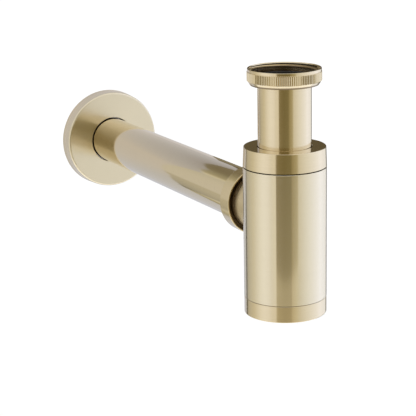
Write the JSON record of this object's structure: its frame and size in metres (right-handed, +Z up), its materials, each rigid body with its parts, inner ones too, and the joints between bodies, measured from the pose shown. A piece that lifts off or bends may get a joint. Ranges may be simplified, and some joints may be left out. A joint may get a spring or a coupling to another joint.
{
  "type": "basin bottle trap",
  "caption": "Cylindrical brass bottle trap with a knurled inlet nut, height-adjustable dip tube, screwed top and bottom caps, and a horizontal outlet tube with a round wall flange.",
  "frame": {"origin": "centre of the inlet washer's top face on the inlet axis, where the basin waste seals", "axes": "+Z up along the inlet axis, out of the nut's mouth; +Y along the outlet tube towards the wall"},
  "size_m": [0.0716, 0.3102, 0.149],
  "materials": {
    "brushed_brass": "lathe-brushed, pale champagne tone",
    "polished_brass": "finely polished, pale champagne tone",
    "turned_brass": "as turned, uncoated",
    "black_rubber": "matte moulded",
    "white_nylon": "smooth moulded"
  },
  "bodies": {
    "bottle": {"bottle_body": "brushed_brass", "neck_ring": "turned_brass", "base_ring": "turned_brass", "outlet_boss": "turned_brass", "outlet_seal": "black_rubber"},
    "tube_seal": {"top_seal": "black_rubber"},
    "inlet": {"inlet_tube": "brushed_brass", "inlet_washer": "black_rubber"},
    "inlet_ring": {"inlet_slip_ring": "white_nylon"},
    "inlet_nut": {"inlet_nut": "brushed_brass"},
    "cap_ring": {"top_slip_ring": "white_nylon"},
    "top_cap": {"top_cap": "brushed_brass"},
    "outlet_ring": {"outlet_slip_ring": "white_nylon"},
    "outlet_nut": {"outlet_nut": "polished_brass"},
    "outlet": {"outlet_tube": "polished_brass"},
    "flange": {"wall_flange": "brushed_brass", "flange_grip_ring": "black_rubber"},
    "base_oring": {"bottom_oring": "black_rubber"},
    "bottom_cap": {"bottom_cap": "brushed_brass"}
  },
  "joints": [
    {"name": "inlet_swivel", "type": "hinge", "parent": "bottle", "child": "tube_seal", "pos_m": [0, 0, -0.05], "axis": [0, 0, 1], "continuous": true},
    {"name": "inlet_height", "type": "slide", "parent": "tube_seal", "child": "inlet", "axis": [0, 0, 1], "range_m": [-0.012, 0.02]},
    {"name": "inlet_nut_drop", "type": "slide", "parent": "inlet", "child": "inlet_ring", "axis": [0, 0, -1], "range_m": [0, 0.014]},
    {"name": "inlet_nut_spin", "type": "hinge", "parent": "inlet_ring", "child": "inlet_nut", "pos_m": [0, 0, 0], "axis": [0, 0, 1], "continuous": true},
    {"name": "top_cap_lift", "type": "slide", "parent": "bottle", "child": "cap_ring", "axis": [0, 0, 1], "range_m": [0, 0.0075]},
    {"name": "top_cap_turn", "type": "hinge", "parent": "cap_ring", "child": "top_cap", "pos_m": [0, 0, -0.05], "axis": [0, 0, 1], "range_deg": [0, 1800]},
    {"name": "outlet_nut_travel", "type": "slide", "parent": "bottle", "child": "outlet_ring", "axis": [0, 1, 0], "range_m": [0, 0.006]},
    {"name": "outlet_nut_turn", "type": "hinge", "parent": "outlet_ring", "child": "outlet_nut", "pos_m": [0, 0.0378, -0.0826], "axis": [0, 1, 0], "range_deg": [0, 1440]},
    {"name": "outlet_tube_slide", "type": "slide", "parent": "bottle", "child": "outlet", "axis": [0, 1, 0], "range_m": [-0.0035, 0.005]},
    {"name": "flange_slide", "type": "slide", "parent": "outlet", "child": "flange", "axis": [0, -1, 0], "range_m": [-0.008, 0.15]},
    {"name": "bottom_cap_drop", "type": "slide", "parent": "bottle", "child": "base_oring", "axis": [0, 0, -1], "range_m": [0, 0.0075]},
    {"name": "bottom_cap_turn", "type": "hinge", "parent": "base_oring", "child": "bottom_cap", "pos_m": [0, 0, -0.14], "axis": [0, 0, -1], "range_deg": [0, 1800]}
  ],
  "couplings": [
    {"joint": "top_cap_turn", "follows": "top_cap_lift", "rad_per_m": 4188.8},
    {"joint": "outlet_nut_turn", "follows": "outlet_nut_travel", "rad_per_m": 4188.8},
    {"joint": "bottom_cap_turn", "follows": "bottom_cap_drop", "rad_per_m": 4188.8}
  ]
}
